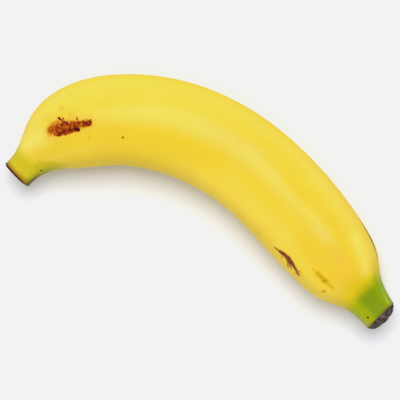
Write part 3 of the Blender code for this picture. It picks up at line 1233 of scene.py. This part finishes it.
@dataclass
class Peel:
    """The whole skin of the fruit, closed at both ends under the dry faces.

    Each of the cut's rows holds its share of the ring and how deep it lies. Each of the scar's
    holds its share, how high it stands and its part of the skin's overhang on the top side.
    """

    form: FruitForm
    rings: int = 300
    crowding: float = 0.4
    sides: int = 176
    cut_rows: Knots = (
        (0.0, 0.0016), (0.5, 0.0016), (0.84, 0.0013), (0.885, 0.0006), (0.92, 0.0001), (0.955, 0.0),
        (0.985, 0.0001),
    )
    rim_round: float = 0.0005
    skin_ends: float = 0.9965
    scar_rows: tuple[tuple[float, float, float], ...] = (
        (0.990, 0.0001, 1.0), (0.975, 0.0002, 1.0), (0.955, 0.0002, 1.0), (0.935, 0.0, 1.0),
        (0.915, -0.0004, 1.0), (0.89, -0.0011, 1.0), (0.84, -0.0016, 0.9), (0.5, -0.0018, 0.4),
        (0.0, -0.0018, 0.0),
    )
    overhang: float = 0.0010
    overhang_starts: float = 0.965
    overhang_turn: float = math.radians(90.0)
    edge_relief: float = 0.3
    relief: Relief = Relief(0.00030, 0.024, 0.00003, 0.0022, 0.00022, 0.11)
    seed: float = 4.0

    def sections(self) -> list[Section]:
        """The skin's rows, from the middle of the cut to the middle of the scar."""
        even = np.linspace(0.0, 1.0, self.rings)
        crowded = (1 - np.cos(math.pi * even)) / 2
        places = even + self.crowding * (crowded - even)
        rows = [Section(0.0, share, inside, 0.0, 0.0) for share, inside in self.cut_rows]
        rows.append(Section(0.0, 1.0, self.rim_round, 0.0, self.edge_relief))
        for along in places[1:] * self.skin_ends:
            part = (along - self.overhang_starts) / (self.skin_ends - self.overhang_starts)
            rows.append(Section(float(along), lobe=self.overhang * max(part, 0.0) ** 2))
        for share, high, part in self.scar_rows:
            rows.append(Section(self.skin_ends, share, high, self.overhang * part, self.edge_relief))
        return rows

    def build(self, tree: SkinTree, finish: PeelFinish) -> bpy.types.Object:
        """Grows and dresses the peel."""
        return tree.grow(
            "peel", self.sections(), self.sides, self.relief, seed=self.seed,
            lobes=1.0, lobe_turn=self.overhang_turn, material=finish.material(self.form),
        )


@dataclass
class StalkCut:
    """The face that the knife left: dried flesh, sunk inside the rim of skin.

    Its rows hold each one's share of the ring and how deep it lies.
    """

    form: FruitForm
    sides: int = 120
    rows: Knots = (
        (0.0, 0.0007), (0.04, 0.0007), (0.1, 0.0007), (0.19, 0.0008), (0.28, 0.0008), (0.38, 0.0007),
        (0.48, 0.0006), (0.57, 0.0006), (0.66, 0.0007), (0.74, 0.0007), (0.81, 0.0006), (0.86, 0.0005),
        (0.89, 0.0006), (0.905, 0.0009), (0.90, 0.0014), (0.86, 0.0021), (0.6, 0.0024), (0.0, 0.0024),
    )
    relief: Relief = Relief(0.00035, 0.0035, 0.0002, 0.0009)
    seed: float = 12.0

    def build(self, tree: SkinTree, finish: DryFinish) -> bpy.types.Object:
        """Grows and dresses the cut's face."""
        rows = [Section(0.0, share, inside) for share, inside in self.rows]
        return tree.grow(
            "stalk_cut", rows, self.sides, self.relief, seed=self.seed, material=finish.material()
        )


@dataclass
class BlossomScar:
    """The dry stub where the flower fell: a rough dark cap that stands out of the green skin.

    Its rows hold each one's share of the ring, how high it stands and how high its lobes do.
    """

    form: FruitForm
    sides: int = 144
    rows: tuple[tuple[float, float, float], ...] = (
        (0.0, -0.0018, 0.0), (0.6, -0.0018, 0.0), (0.88, -0.0016, 0.0), (0.925, -0.0012, 0.0),
        (0.94, -0.0008, 0.0), (0.94, -0.0004, 0.0), (0.93, -0.0002, 0.0), (0.91, 0.0, 0.0001),
        (0.88, 0.0002, 0.0001), (0.84, 0.0004, 0.0002), (0.79, 0.00065, 0.0002),
        (0.73, 0.00095, 0.0003), (0.66, 0.00125, 0.0003), (0.58, 0.0015, 0.0003),
        (0.50, 0.0017, 0.0003), (0.42, 0.00185, 0.0002), (0.34, 0.0020, 0.0001),
        (0.26, 0.0022, 0.0), (0.18, 0.0024, 0.0), (0.10, 0.0025, 0.0), (0.0, 0.00255, 0.0),
    )
    lobes: float = 5.0
    lobe_turn: float = math.radians(52.0)
    relief: Relief = Relief(0.00045, 0.0030, 0.00020, 0.0011)
    seed: float = 21.0

    def build(self, tree: SkinTree, finish: DryFinish) -> bpy.types.Object:
        """Grows and dresses the scab."""
        rows = [Section(1.0, share, high, lobe) for share, high, lobe in self.rows]
        return tree.grow(
            "blossom_scar", rows, self.sides, self.relief, seed=self.seed,
            lobes=self.lobes, lobe_turn=self.lobe_turn, material=finish.material(),
        )


class ScatterTree(GeometryTree):
    """Scatters small lumps over a round face, from its middle to its edge."""

    GOLDEN_TURN = math.pi * (3 - math.sqrt(5))
    EVENLY = (-0.5, 0.5)
    LUMP_FINENESS = 2

    def __init__(self) -> None:
        """Builds the tree."""
        inputs = {"Count": "NodeSocketInt", "Seed": "NodeSocketInt"}
        inputs |= {name: "NodeSocketVector" for name in ("Middle", "Across", "Up", "Forward", "Size")}
        numbers = ("Inner Share", "Jitter", "Least", "Most", "Loose", "Drop")
        inputs |= {name: "NodeSocketFloat" for name in numbers}
        super().__init__("scattered_lumps", inputs | {"Material": "NodeSocketMaterial"})
        index = self.node("GeometryNodeInputIndex")
        share = self.maths("SQRT", (index + 0.5) / self.named("Count"))
        inner = self.named("Inner Share")
        share = inner + share * (1.0 - inner)
        angle = index * self.GOLDEN_TURN + self._random(0, *self.EVENLY) * self.named("Jitter")
        across = self.named("Across") * (share * self.maths("COSINE", angle))
        up = self.named("Up") * (share * self.maths("SINE", angle))
        loose = self._random(1, *self.EVENLY) * self.named("Loose")
        raised = self.named("Forward") * (loose - share * share * self.named("Drop"))
        spots = {"Count": self.named("Count"), "Position": self.named("Middle") + across + up + raised}
        points = self.node("GeometryNodePoints", {}, spots)
        ball = {"Radius": 1.0, "Subdivisions": self.LUMP_FINENESS}
        lump = self.node("GeometryNodeMeshIcoSphere", {}, ball)
        facing = self.node(
            "FunctionNodeAlignRotationToVector", {"axis": "Z"}, {"Vector": self.named("Forward")}
        )
        size = self.named("Size") * self._random(2, self.named("Least"), self.named("Most"))
        given = {"Points": points, "Instance": lump, "Rotation": facing, "Scale": size}
        placed = self.node("GeometryNodeInstanceOnPoints", {}, given)
        real = self.node("GeometryNodeRealizeInstances", {}, {"Geometry": placed})
        kept = self.store(real, "skin", self.node("GeometryNodeInputPosition"), "FLOAT_VECTOR")
        self.end(kept)

    def _random(self, salt: int, low: Operand, high: Operand) -> Wire:
        """A number for each lump, between two others."""
        given = {2: low, 3: high, "Seed": self.named("Seed") + salt}
        return self.node("FunctionNodeRandomValue", {"data_type": "FLOAT"}, given, 1)


@dataclass
class EndLumps:
    """Small raised lumps on a dry face: strands in the cut, or crumbs on the scab.

    Attributes:
        along: Which end they are on: 0 for the stalk's cut and 1 for the scab.
        forward: How far from that end they lie, in metres towards the blossom.
        drop: How much less far they lie at the face's edge.
        share: How much of the ring's half-width they spread over.
        inner: Where they start, as a share of that.
        size: A lump's half-sizes across, up and along.
        loose: How much that distance strays from lump to lump.
        jitter: How far round the face they stray, in radians.
        sizes: The least and the most that a lump's size is multiplied by.
    """

    form: FruitForm
    name: str
    along: float
    forward: float
    drop: float
    share: float
    inner: float
    count: int
    size: tuple[float, float, float]
    seed: int
    loose: float = 0.0002
    jitter: float = 0.8
    sizes: Span = (0.6, 1.25)

    def build(self, tree: ScatterTree, finish: DryFinish) -> bpy.types.Object:
        """Scatters and dresses the lumps."""
        along = np.array([self.along])
        centre, outward, upward, facing = (side[0] for side in self.form.frames(along))
        reach = float(self.form.half_width(along)[0]) * self.share
        piece = in_scene(self.name, bpy.data.meshes.new(self.name))
        tree.apply(
            piece,
            count=self.count,
            seed=self.seed,
            middle=(centre + self.form.over_origin + facing * self.forward).tolist(),
            across=(outward * reach).tolist(),
            up=(upward * reach * self.form.depth_share).tolist(),
            forward=facing.tolist(),
            loose=self.loose,
            drop=self.drop,
            size=self.size,
            inner_share=self.inner,
            jitter=self.jitter,
            least=self.sizes[0],
            most=self.sizes[1],
            material=finish.material(),
        )
        return piece


@dataclass
class Studio:
    """A pale floor, soft light from above the fruit's outer side, and the camera."""

    floor_size: float = 8.0
    floor_gap: float = 0.0002
    floor_colour: Colour = (0.870, 0.877, 0.910)
    floor_roughness: float = 0.9
    photo_turn: float = math.radians(21.1)
    middle: tuple[float, float, float] = (-0.004858, -0.009232, 0.0175)
    distance: float = 1.2
    picture_width: float = 0.160
    sensor: float = 36.0
    key_tilt: float = math.radians(15.5)
    key_spread: float = math.radians(30.0)
    key_swing: float = math.radians(8.0)
    key_light: float = 0.595
    sky_light: float = 0.672
    sky_colour: Colour = (0.98, 1.0, 1.04)
    paper_white: float = 0.888

    COMBINED = 3  # which of the view's curves moves all three colours

    def build(self) -> None:
        """Makes the floor, the lights and the camera."""
        self._floor()
        self._key()
        world = bpy.data.worlds.new("studio")
        world.use_nodes = True
        sky = world.node_tree.nodes["Background"].inputs
        sky["Color"].default_value = (*self.sky_colour, 1.0)
        sky["Strength"].default_value = self.sky_light
        bpy.context.scene.world = world
        self._camera()
        self._expose()

    def _floor(self) -> None:
        """A wide pale floor, a hair below the fruit."""
        half = self.floor_size / 2
        corners = [(-half, -half), (half, -half), (half, half), (-half, half)]
        data = bpy.data.meshes.new("floor")
        data.from_pydata([(x, y, -self.floor_gap) for x, y in corners], [], [(0, 1, 2, 3)])
        tree = ShaderTree("floor_paper")
        data.materials.append(tree.finish(
            Base_Color=self.floor_colour, Roughness=self.floor_roughness, Specular_IOR_Level=0.0
        ))
        floor = in_scene("floor", data)

    def _key(self) -> None:
        """A soft light from nearly overhead, a little towards the photograph's top."""
        data = bpy.data.lights.new("key", "SUN")
        data.energy = self.key_light * math.pi / math.cos(self.key_tilt)
        data.angle = self.key_spread
        turn = self.photo_turn + self.key_swing
        away = Vector((-math.sin(turn), math.cos(turn), 0.0)) * math.sin(self.key_tilt)
        away.z = math.cos(self.key_tilt)
        in_scene("key", data).rotation_euler = away.to_track_quat("Z", "Y").to_euler()

    def _camera(self) -> None:
        """A camera that looks straight down, as the photograph does."""
        data = bpy.data.cameras.new("camera")
        data.sensor_width = self.sensor
        data.lens = self.sensor * self.distance / self.picture_width
        camera = in_scene("camera", data)
        camera.location = Vector(self.middle) + Vector((0.0, 0.0, self.distance))
        camera.rotation_euler = (0.0, 0.0, self.photo_turn)
        bpy.context.scene.camera = camera

    def _expose(self) -> None:
        """Makes the brightest white the photograph's own off-white."""
        view = bpy.context.scene.view_settings
        view.view_transform = "Standard"
        view.look = "None"
        view.use_curve_mapping = True
        mapping = view.curve_mapping
        mapping.extend = "HORIZONTAL"
        mapping.curves[self.COMBINED].points[-1].location = (1.0, self.paper_white)
        mapping.update()


def main() -> None:
    """Builds the pieces in order and dresses them."""
    logging.basicConfig(level=logging.INFO, format="%(name)s: %(message)s")
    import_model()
    form = FruitForm()
    skin_tree, scatter_tree = SkinTree(form), ScatterTree()
    cut_skin = DryFinish(
        "dry_cut", (0.045, 0.018, 0.010), (0.15, 0.075, 0.035), (0.30, 0.19, 0.10), 0.5
    )
    scab_skin = DryFinish(
        "dry_scab", (0.006, 0.002, 0.001), (0.055, 0.024, 0.021), (0.22, 0.15, 0.175), 0.8,
        grain=0.0013,
    )
    strand_skin = DryFinish(
        "dry_strands", (0.030, 0.012, 0.008), (0.07, 0.03, 0.015), (0.10, 0.05, 0.03), 0.3
    )
    pieces = [
        (Peel(form).build(skin_tree, PeelFinish()), "peel"),
        (StalkCut(form).build(skin_tree, cut_skin), "dry_end"),
        (BlossomScar(form).build(skin_tree, scab_skin), "dry_end"),
    ]
    strands = EndLumps(
        form, "cut_strands", along=0.0, forward=0.0006, drop=0.0, share=0.74, inner=0.15, count=46,
        size=(0.00024, 0.00024, 0.00020), seed=5,
    )
    crumbs = EndLumps(
        form, "scar_crumbs", along=1.0, forward=0.0022, drop=0.0011, share=0.62, inner=0.10, count=40,
        size=(0.00034, 0.00028, 0.00016), seed=9,
    )
    for lumps, finish in ((strands, strand_skin), (crumbs, scab_skin)):
        pieces.append((lumps.build(scatter_tree, finish), "dry_end"))
    for piece, slot in pieces:
        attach(piece, "root")
        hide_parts("banana")
        log.info("%s: %d faces", piece.name, len(piece.data.polygons))
    Studio().build()


if __name__ == "__main__":
    main()
